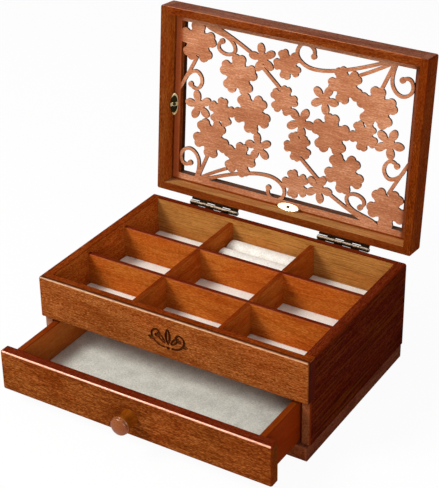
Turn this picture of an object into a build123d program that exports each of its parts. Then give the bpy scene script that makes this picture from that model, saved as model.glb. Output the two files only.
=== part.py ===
# Wooden jewelry box with one drawer and a fretwork lid, shown with the lid open and the
# drawer pulled part way out. Millimetres; +X to the right, +Y to the back, +Z up; the origin
# is the middle of the case's footprint, on the surface that it stands on.

import os
from math import cos, radians, sin

from build123d import *

os.makedirs("parts", exist_ok=True)

# Case
CASE_WIDTH = 280
CASE_DEPTH = 190
CASE_HEIGHT = 102
SIDE_WALL = 10
FRONT_WALL = 11.5
BACK_WALL = 8
BASE_THICKNESS = 15
BASE_INSET = 1.2
SIDE_SETBACK = 5
BAY_TOP = 60
CORNER_ROUND = 2
RIM_OUTER_ROUND = 2.4
RIM_INNER_ROUND = 0.8
BASE_LIP_ROUND = 2.5

# Tray above the drawer
TRAY_FLOOR_TOP = 65
TRAY_FLOOR_THICKNESS = 4
GROOVE_DEPTH = 2
LINING_THICKNESS = 1
DIVIDER_THICKNESS = 5
DIVIDER_DROP = 4.5
DIVIDER_X = 44.8
DIVIDER_Y = 29.8
DIVIDER_ROUND = 1

# Ring cushion
ROLL_COUNT = 3
ROLL_CROWN = 84
ROLL_VALLEY = 76.5
CUSHION_CLEARANCE = 0.5

# Drawer
DRAWER_OPEN = 55.9
DRAWER_FRONT_THICKNESS = 10.3
DRAWER_FRONT_LOW = 15.4
DRAWER_FRONT_HIGH = 56.6
DRAWER_FRONT_ROUND = 2.2
DRAWER_OUTER_HALF = 128.6
DRAWER_SIDE_THICKNESS = 6.5
DRAWER_SIDE_LENGTH = 170
DRAWER_SIDE_HIGH = 56.2
DRAWER_BACK_THICKNESS = 7
DRAWER_BOTTOM_LOW = 21.5
DRAWER_BOTTOM_THICKNESS = 3

# Knob, as distances from the drawer's face and radii
KNOB_Z = 35.2
KNOB_LENGTH = 19.4
KNOB_FOOT_RADIUS = 8.1
KNOB_WAIST_RADIUS = 7.3
KNOB_WAIST_AT = 5.2
KNOB_BODY_RADIUS = 8.9
KNOB_BODY_AT = 14.2
KNOB_GROOVE_RADIUS = 8.0
KNOB_CAP_RADIUS = 8.5
KNOB_CAP_AT = 15.8

# Lid
LID_THICKNESS = 22
LID_RAIL = 8
LID_LEDGE = 2
LID_LIP = 6
LID_SIDE_LIP = 8
LID_WALL_DEPTH = 14
PANEL_THICKNESS = 2.2
LID_GAP = 0.4
OPEN_ANGLE = 95.3

# Hinges
HINGE_BEHIND = 4.5
HINGE_BELOW_RIM = 0.8
HINGE_X = 71.5
HINGE_LENGTH = 53.4
KNUCKLE_COUNT = 6
KNUCKLE_RADIUS = 2.2
KNUCKLE_GAP = 0.4
KNUCKLE_RELIEF = 0.35
PIN_RADIUS = 1.0
PIN_CLEARANCE = 0.05
LEAF_THICKNESS = 1
LEAF_HEIGHT = 13.5
LEAF_EDGE = 0.6
WEB_THICKNESS = 1
LEAF_SCREW_SPACING = 20
LEAF_SCREW_RADIUS = 1.0
LEAF_SCREW_HEAD = 2.0
LEAF_SCREW_LENGTH = 6.5

# Oval retainers that hold the fretwork in its rebate
OVAL_LENGTH = 23
OVAL_WIDTH = 8
OVAL_THICKNESS = 1.4
OVAL_RIM = 0.8
OVAL_FIELD_DEPTH = 0.7
OVAL_BOSS_RADIUS = 2.4
OVAL_SCREW_RADIUS = 0.8
OVAL_SCREW_HEAD = 1.7
OVAL_SCREW_LENGTH = 10.5
OVAL_SHIFT_ALONG_SIDE = -6.4
OVAL_SHIFT_ALONG_BACK = 4.7
SLOT_TURN = 35

half_width = CASE_WIDTH / 2
front = -CASE_DEPTH / 2
rear = CASE_DEPTH / 2
inner_x = half_width - SIDE_WALL
inner_front = front + FRONT_WALL
inner_rear = rear - BACK_WALL
lid_inner_x = half_width - LID_RAIL
lining_top = TRAY_FLOOR_TOP + LINING_THICKNESS
divider_top = CASE_HEIGHT - DIVIDER_DROP


def block(left, right, near, far, low, high, mode=Mode.ADD):
    """A box between two X, two Y and two Z values of the open part's own plane."""
    middle = ((left + right) / 2, (near + far) / 2, (low + high) / 2)
    with Locations(middle):
        Box(right - left, far - near, high - low, mode=mode)


def finish(part, label):
    """Name a finished piece and write it."""
    part.part.label = label
    export_step(part.part, f"parts/{label}.step")


def countersunk(radius, head_radius, length):
    """A countersunk screw along -Z with the top of its head at the origin."""
    head_depth = head_radius - radius
    with BuildPart() as screw:
        with BuildSketch(Plane.XZ) as profile:
            with BuildLine():
                Polyline(
                    (0, 0), (head_radius, 0), (radius, -head_depth),
                    (radius, -length + radius), (0, -length), close=True,
                )
            make_face()
        revolve(axis=Axis.Z)
    return screw.part


def slotted(screw, width, depth):
    """The same screw with a driver slot across its head."""
    with BuildPart() as result:
        add(screw)
        reach = screw.bounding_box().size.X
        block(-reach, reach, -width / 2, width / 2, -depth, depth, mode=Mode.SUBTRACT)
    return result.part


# Base board: its front top edge is rounded where the drawer slides over it.
with BuildPart() as base_board:
    with BuildSketch():
        RectangleRounded(CASE_WIDTH - 2 * BASE_INSET, CASE_DEPTH, CORNER_ROUND)
    extrude(amount=BASE_THICKNESS)
    with BuildSketch(Plane.YZ) as lip_profile:
        with BuildLine():
            corner = FilletPolyline(
                (rear, 0), (front, 0), (front, BASE_THICKNESS), (rear, BASE_THICKNESS),
                radius=BASE_LIP_ROUND,
            )
            Line(corner @ 1, corner @ 0)
        make_face()
    extrude(amount=half_width, both=True, mode=Mode.INTERSECT)
finish(base_board, "base_board")

# The case's four walls are cut from one shell, so that their rim and corners run on.
with BuildPart() as case_shell:
    with BuildSketch(Plane.XY.offset(BASE_THICKNESS)):
        RectangleRounded(CASE_WIDTH, CASE_DEPTH, CORNER_ROUND)
        Rectangle(2 * inner_x, inner_rear - inner_front, mode=Mode.SUBTRACT)
    extrude(amount=CASE_HEIGHT - BASE_THICKNESS)
    rim_edges = faces().sort_by(Axis.Z)[-1].edges()
    outer_rim = rim_edges.filter_by(lambda e: max(abs(e.center().X) - inner_x, abs(e.center().Y) - inner_rear) > 1)
    fillet(outer_rim, RIM_OUTER_ROUND)
    rim_edges = faces().sort_by(Axis.Z)[-1].inner_wires()[0].edges()
    fillet(rim_edges, RIM_INNER_ROUND)
    block(
        -inner_x - GROOVE_DEPTH, inner_x + GROOVE_DEPTH,
        inner_front - GROOVE_DEPTH, inner_rear + GROOVE_DEPTH,
        TRAY_FLOOR_TOP - TRAY_FLOOR_THICKNESS, TRAY_FLOOR_TOP, mode=Mode.SUBTRACT,
    )

# Hinge frame: where the hinge axis is, and the plane of the open lid's inner face, with
# its origin at the middle of the hinge-side edge, +Y up the lid and +Z towards the front.
hinge_y = rear + HINGE_BEHIND
hinge_z = CASE_HEIGHT - HINGE_BELOW_RIM
lean = radians(OPEN_ANGLE - 90)
drop = LID_GAP + HINGE_BELOW_RIM
lid_origin = (
    0,
    hinge_y + HINGE_BEHIND * sin(lean) + drop * cos(lean),
    hinge_z + HINGE_BEHIND * cos(lean) - drop * sin(lean),
)
lid_plane = Plane(origin=lid_origin, x_dir=(1, 0, 0), z_dir=(0, -cos(lean), sin(lean)))
# In that plane the hinge axis runs at y = -HINGE_BEHIND and z = drop.

leaf_screw = countersunk(LEAF_SCREW_RADIUS, LEAF_SCREW_HEAD, LEAF_SCREW_LENGTH)
leaf_screw_slotted = slotted(leaf_screw, 0.5, 0.6)
case_leaf_face = rear + LEAF_THICKNESS
case_leaf_top = hinge_z - LEAF_EDGE
case_screw_z = case_leaf_top - LEAF_HEIGHT / 2
lid_screw_z = -LEAF_EDGE - LEAF_HEIGHT / 2
screw_offsets = (-LEAF_SCREW_SPACING, 0, LEAF_SCREW_SPACING)


def case_screw_places():
    """Where the case leaves' screws enter, pointing into the back panel."""
    return [
        Plane(origin=(side * HINGE_X + dx, case_leaf_face, case_screw_z), z_dir=(0, 1, 0)).location
        for side in (-1, 1) for dx in screw_offsets
    ]


def lid_screw_places():
    """The same for the lid leaves, in the lid's plane."""
    return [
        Plane(origin=(side * HINGE_X + dx, -LEAF_THICKNESS, lid_screw_z), z_dir=(0, -1, 0)).location
        for side in (-1, 1) for dx in screw_offsets
    ]


# Left and right sides: full depth behind the upper front, set back below it.
for side, name in ((-1, "left_side"), (1, "right_side")):
    with BuildPart() as case_side:
        add(case_shell.part)
        low_x, high_x = sorted((side * inner_x, side * half_width))
        block(low_x, high_x, front + SIDE_SETBACK, rear, BASE_THICKNESS, CASE_HEIGHT, mode=Mode.INTERSECT)
        block(low_x, high_x, front, inner_front, BAY_TOP, CASE_HEIGHT, mode=Mode.SUBTRACT)
        front_edges = edges().filter_by(Axis.Z).group_by(Axis.Y)[0]
        fillet(front_edges, RIM_OUTER_ROUND)
    finish(case_side, name)

with BuildPart() as back_panel:
    add(case_shell.part)
    block(-inner_x, inner_x, inner_rear, rear, BASE_THICKNESS, CASE_HEIGHT, mode=Mode.INTERSECT)
    for place in case_screw_places():
        add(leaf_screw.moved(place), mode=Mode.SUBTRACT)
finish(back_panel, "back_panel")

# Upper front, with a shallow carved ornament: three leaves between two mirrored scrolls.
CARVING_X = 0.5
CARVING_Z = 80.5
CARVING_DEPTH = 1.5
SCROLL_LINE = 2.3
VEIN_WIDTH = 1.3
carving_plane = Plane(origin=(CARVING_X, front, CARVING_Z), x_dir=(1, 0, 0), z_dir=(0, -1, 0))


def leaf_shape(x, y, length, width, angle, mode=Mode.ADD):
    """A pointed leaf made by two equal arcs, its stalk end at (x, y)."""
    tip = (x + length * cos(radians(angle)), y + length * sin(radians(angle)))
    with BuildLine() as outline:
        SagittaArc((x, y), tip, width / 2)
        SagittaArc(tip, (x, y), width / 2)
    make_face(outline.line.edges(), mode=mode)


def veined_leaf(x, y, length, width, angle):
    """A leaf cut into the wood, with its middle vein left standing."""
    leaf_shape(x, y, length, width, angle)
    stalk = 0.22 * length
    vein_x = x + stalk * cos(radians(angle))
    vein_y = y + stalk * sin(radians(angle))
    leaf_shape(vein_x, vein_y, 0.6 * length, VEIN_WIDTH, angle, mode=Mode.SUBTRACT)


with BuildPart() as upper_front:
    add(case_shell.part)
    block(-half_width, half_width, front, inner_front, BAY_TOP, CASE_HEIGHT, mode=Mode.INTERSECT)
    bottom_front = edges().filter_by(Axis.X).group_by(Axis.Z)[0].sort_by(Axis.Y)[0]
    fillet(bottom_front, 1)
    with BuildSketch(carving_plane) as carving:
        veined_leaf(0, -6.6, 17.6, 6.6, 90)
        veined_leaf(-2.6, -6, 13.5, 5.4, 132)
        veined_leaf(2.6, -6, 13.5, 5.4, 48)
        with Locations((0, -9.8)):
            Circle(1.7)
    extrude(carving.sketch, amount=-CARVING_DEPTH, mode=Mode.SUBTRACT)
    for side in (-1, 1):
        with BuildSketch(carving_plane) as scroll:
            with BuildLine():
                stem = ThreePointArc((side * 3.6, -9.4), (side * 11, -7.8), (side * 16.6, -1.5))
                turn = TangentArc(stem @ 1, (side * 12.4, 6.2), tangent=stem % 1)
                TangentArc(turn @ 1, (side * 11.8, -0.4), tangent=turn % 1)
            trace(line_width=SCROLL_LINE)
            with Locations((side * 12.2, 0.4)):
                Circle(1.9)
        extrude(scroll.sketch, amount=-CARVING_DEPTH, mode=Mode.SUBTRACT)
        with BuildSketch(carving_plane) as side_leaf:
            leaf_shape(side * 15.2, -5, 6, 3.6, 90 - side * 66)
        extrude(side_leaf.sketch, amount=-CARVING_DEPTH, mode=Mode.SUBTRACT)
finish(upper_front, "upper_front")

# Tray floor in its groove, the lining glued on it, and the egg-crate of dividers.
with BuildPart() as tray_floor:
    block(
        -inner_x - GROOVE_DEPTH, inner_x + GROOVE_DEPTH,
        inner_front - GROOVE_DEPTH, inner_rear + GROOVE_DEPTH,
        TRAY_FLOOR_TOP - TRAY_FLOOR_THICKNESS, TRAY_FLOOR_TOP,
    )
finish(tray_floor, "tray_floor")

with BuildPart() as tray_lining:
    block(-inner_x, inner_x, inner_front, inner_rear, TRAY_FLOOR_TOP, lining_top)
finish(tray_lining, "tray_lining")

halving = (lining_top + divider_top) / 2
for name, x in (("divider_left", -DIVIDER_X), ("divider_right", DIVIDER_X)):
    with BuildPart() as divider:
        half = DIVIDER_THICKNESS / 2
        block(x - half, x + half, inner_front, inner_rear, lining_top, divider_top)
        fillet(edges().filter_by(Axis.Y).group_by(Axis.Z)[-1], DIVIDER_ROUND)
        for y in (-DIVIDER_Y, DIVIDER_Y):
            block(x - half, x + half, y - half, y + half, halving, divider_top, mode=Mode.SUBTRACT)
    finish(divider, name)

for name, y in (("cross_divider_front", -DIVIDER_Y), ("cross_divider_rear", DIVIDER_Y)):
    with BuildPart() as cross_divider:
        half = DIVIDER_THICKNESS / 2
        block(-inner_x, inner_x, y - half, y + half, lining_top, divider_top)
        fillet(edges().filter_by(Axis.X).group_by(Axis.Z)[-1], DIVIDER_ROUND)
        for x in (-DIVIDER_X, DIVIDER_X):
            block(x - half, x + half, y - half, y + half, lining_top, halving, mode=Mode.SUBTRACT)
    finish(cross_divider, name)

# Ring cushion: padded rolls side by side, with a slot between each two for the rings.
cushion_half = DIVIDER_X - DIVIDER_THICKNESS / 2 - CUSHION_CLEARANCE
cushion_front = DIVIDER_Y + DIVIDER_THICKNESS / 2 + CUSHION_CLEARANCE
cushion_rear = inner_rear - CUSHION_CLEARANCE
roll_width = (cushion_rear - cushion_front) / ROLL_COUNT
with BuildPart() as ring_cushion:
    with BuildSketch(Plane.YZ) as roll_profile:
        with BuildLine():
            Line((cushion_rear, ROLL_VALLEY), (cushion_rear, lining_top))
            Line((cushion_rear, lining_top), (cushion_front, lining_top))
            Line((cushion_front, lining_top), (cushion_front, ROLL_VALLEY))
            for roll in range(ROLL_COUNT):
                start = cushion_front + roll * roll_width
                ThreePointArc(
                    (start, ROLL_VALLEY),
                    (start + roll_width / 2, ROLL_CROWN),
                    (start + roll_width, ROLL_VALLEY),
                )
        make_face()
    extrude(amount=cushion_half, both=True)
finish(ring_cushion, "ring_cushion")

# Drawer. Closed, its front lies against the sides' front edges; here it is pulled out.
drawer_face = front + SIDE_SETBACK - DRAWER_FRONT_THICKNESS - DRAWER_OPEN
drawer_seat = drawer_face + DRAWER_FRONT_THICKNESS
drawer_end = drawer_seat + DRAWER_SIDE_LENGTH
drawer_inner = DRAWER_OUTER_HALF - DRAWER_SIDE_THICKNESS
drawer_back_face = drawer_end - DRAWER_BACK_THICKNESS
drawer_bottom_top = DRAWER_BOTTOM_LOW + DRAWER_BOTTOM_THICKNESS

knob_screw_radius = 1.8
knob_screw_head = 3.6
knob_screw_head_height = 2.2
knob_screw_reach = 8
with BuildPart() as knob_screw_blank:
    with BuildSketch(Plane(origin=(0, drawer_seat, KNOB_Z), z_dir=(0, -1, 0))):
        Circle(knob_screw_radius)
    extrude(amount=DRAWER_FRONT_THICKNESS + knob_screw_reach)
    with BuildSketch(Plane(origin=(0, drawer_seat, KNOB_Z), z_dir=(0, 1, 0))):
        Circle(knob_screw_head)
    extrude(amount=knob_screw_head_height)
    fillet(edges().sort_by(Axis.Y)[-1], 1)

with BuildPart() as drawer_front:
    block(
        -half_width, half_width, drawer_face, drawer_seat, DRAWER_FRONT_LOW, DRAWER_FRONT_HIGH,
    )
    face_edges = faces().sort_by(Axis.Y)[0].edges()
    fillet(face_edges + edges().filter_by(Axis.Y), DRAWER_FRONT_ROUND)
    fillet(faces().sort_by(Axis.Y)[-1].edges().filter_by(Axis.X).sort_by(Axis.Z)[-1], 1)
    add(knob_screw_blank.part, mode=Mode.SUBTRACT)
finish(drawer_front, "drawer_front")

for side, name in ((-1, "drawer_left_side"), (1, "drawer_right_side")):
    with BuildPart() as drawer_side:
        low_x, high_x = sorted((side * drawer_inner, side * DRAWER_OUTER_HALF))
        block(low_x, high_x, drawer_seat, drawer_end, DRAWER_FRONT_LOW, DRAWER_SIDE_HIGH)
        fillet(edges().filter_by(Axis.Y).group_by(Axis.Z)[-1], 1)
        groove_x = side * (drawer_inner + GROOVE_DEPTH)
        low_x, high_x = sorted((side * drawer_inner, groove_x))
        block(
            low_x, high_x, drawer_seat, drawer_back_face + GROOVE_DEPTH,
            DRAWER_BOTTOM_LOW, drawer_bottom_top, mode=Mode.SUBTRACT,
        )
    finish(drawer_side, name)

with BuildPart() as drawer_back:
    block(-drawer_inner, drawer_inner, drawer_back_face, drawer_end, DRAWER_FRONT_LOW, DRAWER_SIDE_HIGH)
    fillet(edges().filter_by(Axis.X).group_by(Axis.Z)[-1], 1)
    block(
        -drawer_inner, drawer_inner, drawer_back_face, drawer_back_face + GROOVE_DEPTH,
        DRAWER_BOTTOM_LOW, drawer_bottom_top, mode=Mode.SUBTRACT,
    )
finish(drawer_back, "drawer_back")

with BuildPart() as drawer_bottom:
    block(
        -drawer_inner - GROOVE_DEPTH, drawer_inner + GROOVE_DEPTH,
        drawer_seat, drawer_back_face + GROOVE_DEPTH, DRAWER_BOTTOM_LOW, drawer_bottom_top,
    )
finish(drawer_bottom, "drawer_bottom")

with BuildPart() as drawer_lining:
    block(
        -drawer_inner, drawer_inner, drawer_seat, drawer_back_face,
        drawer_bottom_top, drawer_bottom_top + LINING_THICKNESS,
    )
finish(drawer_lining, "drawer_lining")

# Turned knob, drawn as radius along X against distance from the drawer's face along Y.
with BuildPart() as drawer_knob:
    with BuildSketch(Plane.XY) as knob_profile:
        with BuildLine():
            foot = Line((0, 0), (KNOB_FOOT_RADIUS, 0))
            neck = Spline(
                (KNOB_FOOT_RADIUS, 0), (KNOB_WAIST_RADIUS, KNOB_WAIST_AT), (KNOB_BODY_RADIUS, KNOB_BODY_AT),
                tangents=((-0.2, 1), (0.1, 1)),
            )
            groove_in = Line(neck @ 1, (KNOB_GROOVE_RADIUS, (KNOB_BODY_AT + KNOB_CAP_AT) / 2))
            groove_out = Line(groove_in @ 1, (KNOB_CAP_RADIUS, KNOB_CAP_AT))
            shoulder = ThreePointArc(
                (KNOB_CAP_RADIUS, KNOB_CAP_AT),
                (KNOB_CAP_RADIUS - 0.4, KNOB_CAP_AT + 1.2),
                (KNOB_CAP_RADIUS - 1.5, KNOB_CAP_AT + 2),
            )
            TangentArc((0, KNOB_LENGTH), shoulder @ 1, tangent=(1, 0))
            Line((0, KNOB_LENGTH), (0, 0))
        make_face()
    revolve(axis=Axis.Y)
knob_solid = drawer_knob.part.mirror(Plane.XZ).moved(Location((0, drawer_face, KNOB_Z)))
with BuildPart() as drawer_knob:
    add(knob_solid)
    add(knob_screw_blank.part, mode=Mode.SUBTRACT)
finish(drawer_knob, "drawer_knob")

with BuildPart() as knob_screw:
    add(knob_screw_blank.part)
    slot_y = drawer_seat + knob_screw_head_height
    block(-0.4, 0.4, slot_y - 1.1, slot_y, KNOB_Z - knob_screw_head, KNOB_Z + knob_screw_head, mode=Mode.SUBTRACT)
    block(-knob_screw_head, knob_screw_head, slot_y - 1.1, slot_y, KNOB_Z - 0.4, KNOB_Z + 0.4, mode=Mode.SUBTRACT)
finish(knob_screw, "knob_screw")

# Lid frame. Its four rails are cut from one frame, so that their edges run on. In the lid's
# plane X is the width, Y runs up from the hinge side and the solid reaches back along -Z.
lid_rebate = LID_RAIL + LID_LEDGE
lid_opening = lid_rebate + LID_LIP
side_rail_inner = half_width - lid_rebate - LID_SIDE_LIP
panel_front = -LID_WALL_DEPTH
panel_back = panel_front - PANEL_THICKNESS
lid_middle = CASE_DEPTH / 2

with BuildPart(lid_plane) as lid_frame:
    with BuildSketch(lid_plane.offset(-LID_THICKNESS)) as lid_outline:
        with Locations((0, lid_middle)):
            RectangleRounded(CASE_WIDTH, CASE_DEPTH, CORNER_ROUND)
    extrude(amount=LID_THICKNESS)
    top_face = faces().sort_by(Axis((0, 0, 0), lid_plane.z_dir))[0]
    fillet(top_face.edges(), CORNER_ROUND)
    seat_face = faces().sort_by(Axis((0, 0, 0), lid_plane.z_dir))[-1]
    fillet(seat_face.edges(), 1)
    block(
        -lid_inner_x, lid_inner_x, LID_RAIL, CASE_DEPTH - LID_RAIL, panel_front, 0, mode=Mode.SUBTRACT,
    )
    block(
        lid_rebate - half_width, half_width - lid_rebate, lid_rebate, CASE_DEPTH - lid_rebate,
        panel_back, panel_front, mode=Mode.SUBTRACT,
    )
    block(
        -side_rail_inner, side_rail_inner, lid_opening, CASE_DEPTH - lid_opening,
        -LID_THICKNESS, panel_back, mode=Mode.SUBTRACT,
    )

oval_screw = countersunk(OVAL_SCREW_RADIUS, OVAL_SCREW_HEAD, OVAL_SCREW_LENGTH)
oval_screw_slotted = slotted(oval_screw, 0.5, 0.5)

# A retainer fills the corner between a rail's inner wall and the board's front, and its oval
# face leans half way between the two. Its place is on that corner, turned to face the board.
oval_places = {
    "retainer_left": (-lid_inner_x, lid_middle + OVAL_SHIFT_ALONG_SIDE, 0),
    "retainer_hinge_side": (OVAL_SHIFT_ALONG_BACK, LID_RAIL, 90),
}
OVAL_LEAN = 45
oval_face_height = OVAL_WIDTH / 2 + OVAL_THICKNESS
oval_screw_seat = Location((0, 0, oval_face_height))


def corner_place(x, y, turn):
    """The corner that a retainer sits in, with X towards the board's middle and Z off its front."""
    return lid_plane.location * Location((x, y, panel_front), (0, 0, turn))


def leaning_place(x, y, turn):
    """The same corner, with Z out through the middle of the retainer's oval face."""
    return corner_place(x, y, turn) * Location((0, 0, 0), (0, OVAL_LEAN, 0))


def cut_oval_screw_holes():
    """Cut the retainers' screw holes from the open part."""
    for place in oval_places.values():
        add(oval_screw.moved(leaning_place(*place) * oval_screw_seat), mode=Mode.SUBTRACT)


lid_far = CASE_DEPTH - lid_opening
for side, name in ((-1, "lid_left_rail"), (1, "lid_right_rail")):
    with BuildPart(lid_plane) as rail_region:
        low_x, high_x = sorted((side * lid_inner_x, side * half_width))
        block(low_x, high_x, 0, CASE_DEPTH, -LID_THICKNESS, 0)
        low_x, high_x = sorted((side * side_rail_inner, side * lid_inner_x))
        block(low_x, high_x, lid_opening, lid_far, -LID_THICKNESS, panel_front)
    with BuildPart() as side_rail:
        add(rail_region.part)
        add(lid_frame.part, mode=Mode.INTERSECT)
        cut_oval_screw_holes()
    finish(side_rail, name)

for name, near, far in (("lid_hinge_rail", 0, lid_opening), ("lid_front_rail", lid_far, CASE_DEPTH)):
    with BuildPart(lid_plane) as rail_region:
        block(-lid_inner_x, lid_inner_x, near, far, -LID_THICKNESS, 0)
    with BuildPart() as cross_rail:
        add(rail_region.part)
        add(lid_frame.part, mode=Mode.INTERSECT)
        cut_oval_screw_holes()
        if name == "lid_hinge_rail":
            for place in lid_screw_places():
                add(leaf_screw.moved(lid_plane.location * place), mode=Mode.SUBTRACT)
    finish(cross_rail, name)

# Fretwork: five-petal blossoms, stems and scrolls sawn from one thin board. The layout is
# drawn for half of the board and turned half round its middle for the other half.
SCROLL_WIDTH = 3.4
LARGE, MEDIUM, FULL_SLIM, LESS_SLIM, SMALL = 20.5, 18, 15.6, 15.4, 14.8
broad_blossoms = [
    (-105.8, 155.5, LARGE, 90),
    (-59.4, 131.4, LARGE, 90),
    (-42.9, 96.2, LARGE, 54),
    (-87.5, 60.5, LARGE, 54),
    (-54.5, 45.5, MEDIUM, 79),
    (-8.8, 116.4, SMALL, 80),
    (-76.4, 90, SMALL, 85),
]
slim_blossoms = [
    (-33.7, 153.4, SMALL, 103),
    (-33.7, 63.5, SMALL, 101),
    (-102.6, 91.6, LESS_SLIM, 103),
]
lone_broad_blossoms = [(-7, 152.4, SMALL, 116), (9, 35, SMALL, 111)]
lone_slim_blossoms = [(10.3, 98.8, FULL_SLIM, 64)]
stems = [
    [(-101, 16), (-91, 41)],
    [(-99, 15.5), (-84, 24.5), (-68, 33)],
    [(-106, 141), (-113.8, 125.6), (-126, 103)],
    [(-88, 175), (-66, 166), (-46, 156)],
    [(-93, 174.5), (-72, 167.5)],
    [(-104, 15.6), (-94, 15.6)],
]
scrolls = [
    [(-103.5, 14), (-100.6, 26), (-101.8, 37), (-111.1, 44.2), (-121, 37), (-118.6, 27.6), (-110.5, 29)],
    [(-97, 14), (-69, 25.5), (-41, 34.2), (-24.4, 36.6), (-10.5, 34), (-2.6, 24.5), (-7.5, 15), (-17.5, 15.5), (-20.3, 24.5)],
    [(-119, 116), (-113, 123.3), (-106, 125.8), (-99.8, 118), (-104.5, 108.6), (-112.4, 111.6)],
    [(-97, 175), (-78, 168), (-66, 161.2), (-64, 154.5), (-73, 149.5), (-82.2, 154.4), (-78.6, 161.5)],
    [(-12, 126.5), (-33.6, 144.8)],
]
END_BALL_RADIUS = 2.9


def blossom(x, y, radius, turn, slim):
    """A five-petal blossom; slim petals are ovals, broad ones have two lobes at the tip."""
    with Locations((x, y)):
        Circle(radius * (0.38 if slim else 0.55))
    for petal in range(5):
        angle = turn + petal * 72
        with Locations(Location((x, y, 0), (0, 0, angle))):
            if slim:
                with Locations((radius * 0.62, 0)):
                    Ellipse(radius * 0.38, radius * 0.265)
            else:
                with Locations((radius * 0.58, 0)):
                    Trapezoid(radius * 0.74, radius * 0.42, 82, rotation=-90)
                with Locations((radius * 0.765, radius * 0.145), (radius * 0.765, -radius * 0.145)):
                    Circle(radius * 0.228)


def half_turned(points):
    """Points turned half round the middle of the lid."""
    return [(-x, CASE_DEPTH - y) for x, y in points]


def strip(points, with_ball):
    """A strip of even width along a smooth line, ended by a round ball if asked."""
    with BuildLine() as centre_line:
        if len(points) == 2:
            Line(*points)
        else:
            Spline(*points)
    trace(centre_line.line, line_width=SCROLL_WIDTH)
    if with_ball:
        with Locations(points[-1]):
            Circle(END_BALL_RADIUS)


with BuildSketch(lid_plane.offset(panel_back)) as fretwork_shape:
    with Locations((0, lid_middle)):
        Rectangle(CASE_WIDTH - 2 * lid_rebate, CASE_DEPTH - 2 * lid_rebate)
        Rectangle(CASE_WIDTH - 2 * lid_opening, CASE_DEPTH - 2 * lid_opening, mode=Mode.SUBTRACT)
    for group, slim in ((broad_blossoms, False), (slim_blossoms, True)):
        for x, y, radius, turn in group:
            blossom(x, y, radius, turn, slim)
            blossom(-x, CASE_DEPTH - y, radius, turn + 180, slim)
    for group, slim in ((lone_broad_blossoms, False), (lone_slim_blossoms, True)):
        for x, y, radius, turn in group:
            blossom(x, y, radius, turn, slim)
    for group, with_ball in ((stems, False), (scrolls, True)):
        for points in group:
            strip(points, with_ball)
            strip(half_turned(points), with_ball)
    with Locations((0, lid_middle)):
        Rectangle(CASE_WIDTH - 2 * lid_rebate, CASE_DEPTH - 2 * lid_rebate, mode=Mode.INTERSECT)

with BuildPart() as fretwork_panel:
    extrude(fretwork_shape.sketch, amount=PANEL_THICKNESS)
finish(fretwork_panel, "fretwork_panel")

# Oval retainers: a raised rim round a sunk field, a boss for the screw, and a wedge behind
# that fits the corner.
for name, place in oval_places.items():
    corner = corner_place(*place)
    oval_plane = Plane(leaning_place(*place))
    with BuildPart(Plane(corner)) as corner_space:
        block(0, OVAL_LENGTH, -OVAL_LENGTH, OVAL_LENGTH, 0, OVAL_LENGTH)
    with BuildPart() as retainer:
        with BuildSketch(oval_plane):
            Ellipse(OVAL_WIDTH / 2, OVAL_LENGTH / 2)
        extrude(amount=oval_face_height)
        add(corner_space.part, mode=Mode.INTERSECT)
        fillet(edges().sort_by(Axis((0, 0, 0), oval_plane.z_dir))[-1], 0.4)
        with BuildSketch(oval_plane.offset(oval_face_height)) as field:
            Ellipse(OVAL_WIDTH / 2 - OVAL_RIM, OVAL_LENGTH / 2 - OVAL_RIM)
            Circle(OVAL_BOSS_RADIUS, mode=Mode.SUBTRACT)
        extrude(field.sketch, amount=-OVAL_FIELD_DEPTH, mode=Mode.SUBTRACT)
        cut_oval_screw_holes()
    finish(retainer, name)

with BuildPart() as retainer_screws:
    for place in oval_places.values():
        slot_turn = Location((0, 0, oval_face_height), (0, 0, SLOT_TURN))
        add(oval_screw_slotted.moved(leaning_place(*place) * slot_turn))
finish(retainer_screws, "retainer_screws")

# Hinges: leaves on the backs of the case and lid, knuckles in turn, and a pin through them.
knuckle_pitch = HINGE_LENGTH / KNUCKLE_COUNT
knuckle_space = KNUCKLE_RADIUS + KNUCKLE_RELIEF


def knuckle_spans(x, first):
    """The X spans of every second knuckle of a hinge."""
    spans = []
    for index in range(first, KNUCKLE_COUNT, 2):
        start = x - HINGE_LENGTH / 2 + index * knuckle_pitch + KNUCKLE_GAP / 2
        spans.append((start, start + knuckle_pitch - KNUCKLE_GAP))
    return spans


def knuckles(x, first):
    """Those knuckles, bored for the pin."""
    for start, end in knuckle_spans(x, first):
        with BuildSketch(pin_plane.offset(start)) as ring:
            Circle(KNUCKLE_RADIUS)
            Circle(PIN_RADIUS + PIN_CLEARANCE, mode=Mode.SUBTRACT)
        extrude(ring.sketch, amount=end - start)


pin_plane = Plane(origin=(0, hinge_y, hinge_z), x_dir=(0, 1, 0), z_dir=(1, 0, 0))
with BuildPart() as bore_blank:
    with BuildSketch(pin_plane.offset(-half_width)):
        Circle(PIN_RADIUS + PIN_CLEARANCE)
    extrude(amount=CASE_WIDTH)

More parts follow.
